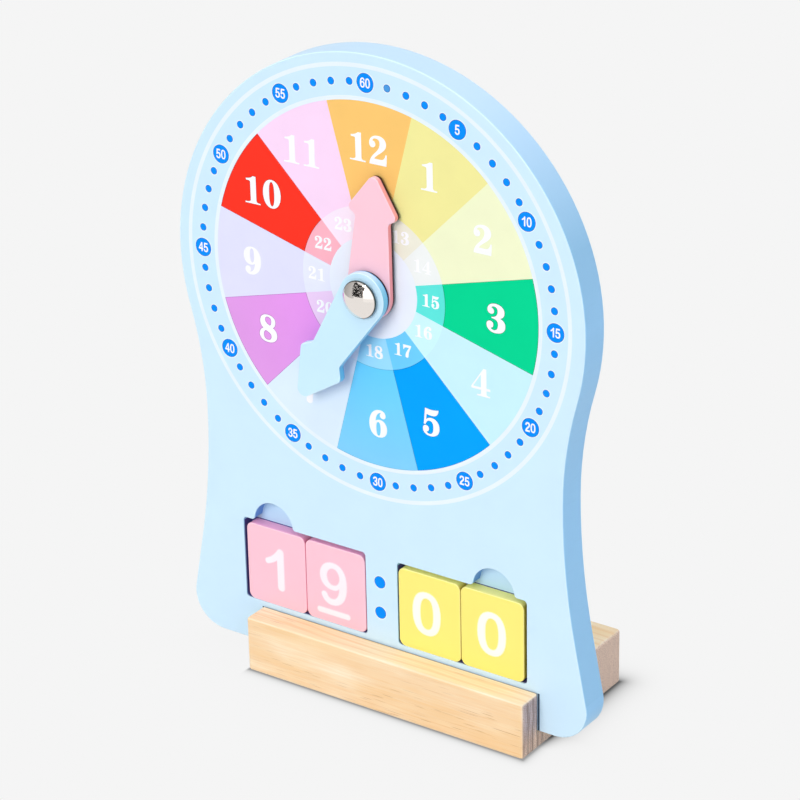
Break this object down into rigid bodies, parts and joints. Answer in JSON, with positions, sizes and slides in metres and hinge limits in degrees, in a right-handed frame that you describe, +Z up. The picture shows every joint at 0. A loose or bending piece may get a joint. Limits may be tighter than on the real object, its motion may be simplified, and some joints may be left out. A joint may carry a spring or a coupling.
{
  "type": "teaching clock",
  "caption": "Wooden teaching clock: an upright painted board in a slotted pine block, turning hour and minute hands on a screw pivot, and number tiles that lift out of two windows.",
  "frame": {"origin": "on the underside of the pine block, straight below the hands' pivot and in the plane of the board's front face", "axes": "+X to the reader's right, +Y from the board's front face towards its back, +Z up"},
  "size_m": [0.1804, 0.0707, 0.2564],
  "materials": {
    "board_paint": "satin paint, pale blue",
    "bare_pine": "bare sanded pine",
    "pink_hand_paint": "satin paint, pink",
    "blue_hand_paint": "satin paint, very pale blue",
    "pink_tile_paint": "satin paint, pink",
    "yellow_tile_paint": "satin paint, yellow",
    "polished_nickel": "polished nickel plate",
    "plated_steel": "nickel plate",
    "nylon": "plain nylon"
  },
  "bodies": {
    "base": {"base_block": "bare_pine"},
    "board": {"clock_board": "board_paint", "barrel_nut": "plated_steel", "pivot_screw": "polished_nickel", "board_washer": "nylon", "hand_washer": "nylon", "dome_washer": "nylon"},
    "hour_hand": {"hour_hand": "pink_hand_paint"},
    "minute_hand": {"minute_hand": "blue_hand_paint"},
    "tile_hour_tens": {"tile_hour_tens": "pink_tile_paint"},
    "tile_hour_units": {"tile_hour_units": "pink_tile_paint"},
    "tile_minute_tens": {"tile_minute_tens": "yellow_tile_paint"},
    "tile_minute_units": {"tile_minute_units": "yellow_tile_paint"}
  },
  "joints": [
    {"name": "board_lift", "type": "slide", "parent": "base", "child": "board", "axis": [0, 0, 1], "range_m": [0, 0.02]},
    {"name": "hour_hand_turn", "type": "hinge", "parent": "board", "child": "hour_hand", "pos_m": [0, -0.00235, 0.1674], "axis": [0, 1, 0], "continuous": true},
    {"name": "minute_hand_turn", "type": "hinge", "parent": "board", "child": "minute_hand", "pos_m": [0, -0.0065, 0.1674], "axis": [0, 1, 0], "continuous": true},
    {"name": "tile_hour_tens_out", "type": "slide", "parent": "board", "child": "tile_hour_tens", "axis": [0, -1, 0], "range_m": [0, 0.02]},
    {"name": "tile_hour_units_out", "type": "slide", "parent": "board", "child": "tile_hour_units", "axis": [0, -1, 0], "range_m": [0, 0.02]},
    {"name": "tile_minute_tens_out", "type": "slide", "parent": "board", "child": "tile_minute_tens", "axis": [0, -1, 0], "range_m": [0, 0.02]},
    {"name": "tile_minute_units_out", "type": "slide", "parent": "board", "child": "tile_minute_units", "axis": [0, -1, 0], "range_m": [0, 0.02]}
  ]
}
